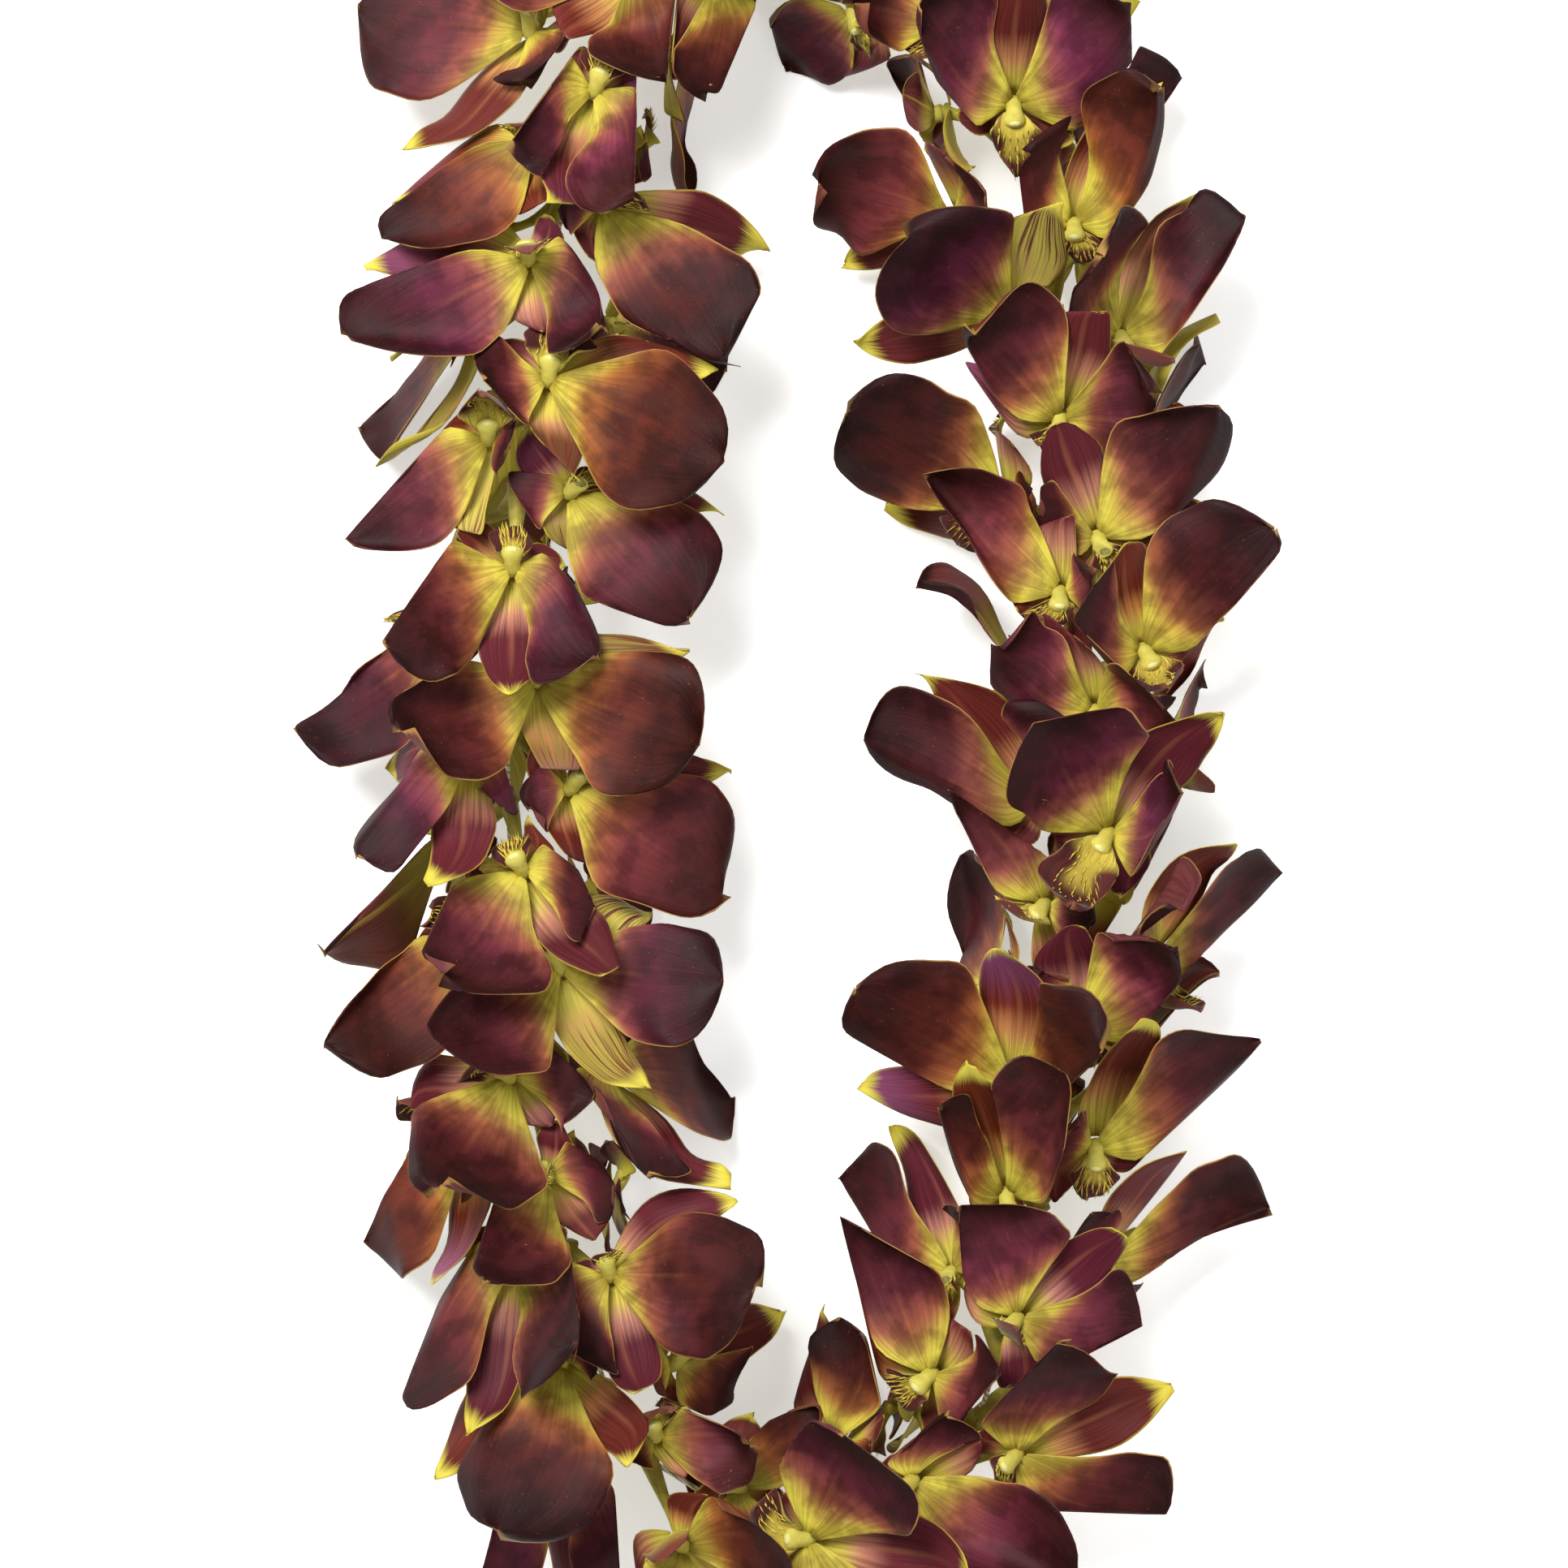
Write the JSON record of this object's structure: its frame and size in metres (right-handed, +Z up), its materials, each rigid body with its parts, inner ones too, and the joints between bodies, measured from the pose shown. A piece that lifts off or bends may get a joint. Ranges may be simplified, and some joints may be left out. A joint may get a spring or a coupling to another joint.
{
  "type": "fresh flower lei",
  "caption": "Fresh flower lei: orchid blooms strung closely round a knotted loop of thread, worn round the neck or laid flat.",
  "frame": {"origin": "on the surface that the lei lies on, under the middle of its outline", "axes": "+Y along the loop's long way, towards the end that is at the top as it hangs or is laid out; +X to the right as seen from above; +Z up from the surface"},
  "size_m": [0.2314, 0.4718, 0.0703],
  "materials": {
    "petals": "soft velvety petals, burgundy in front with yellow-green bases, olive backs",
    "thread": "matt twisted cotton thread"
  },
  "bodies": {
    "root": {"thread": "thread", "blooms_01": "petals", "blooms_02": "petals", "blooms_03": "petals", "blooms_04": "petals", "blooms_05": "petals", "blooms_06": "petals", "blooms_07": "petals", "blooms_08": "petals", "blooms_09": "petals", "blooms_10": "petals", "blooms_11": "petals", "blooms_12": "petals", "blooms_13": "petals", "blooms_14": "petals", "blooms_15": "petals", "blooms_16": "petals", "blooms_17": "petals", "blooms_18": "petals", "blooms_19": "petals", "blooms_20": "petals", "blooms_21": "petals", "blooms_22": "petals", "blooms_23": "petals", "blooms_24": "petals", "blooms_25": "petals", "blooms_26": "petals", "blooms_27": "petals", "blooms_28": "petals", "blooms_29": "petals", "blooms_30": "petals", "blooms_31": "petals", "blooms_32": "petals", "blooms_33": "petals", "blooms_34": "petals", "blooms_35": "petals", "blooms_36": "petals", "blooms_37": "petals", "blooms_38": "petals", "blooms_39": "petals", "blooms_40": "petals", "blooms_41": "petals", "blooms_42": "petals", "blooms_43": "petals", "blooms_44": "petals", "blooms_45": "petals", "blooms_46": "petals", "blooms_47": "petals", "blooms_48": "petals", "blooms_49": "petals"}
  },
  "joints": []
}
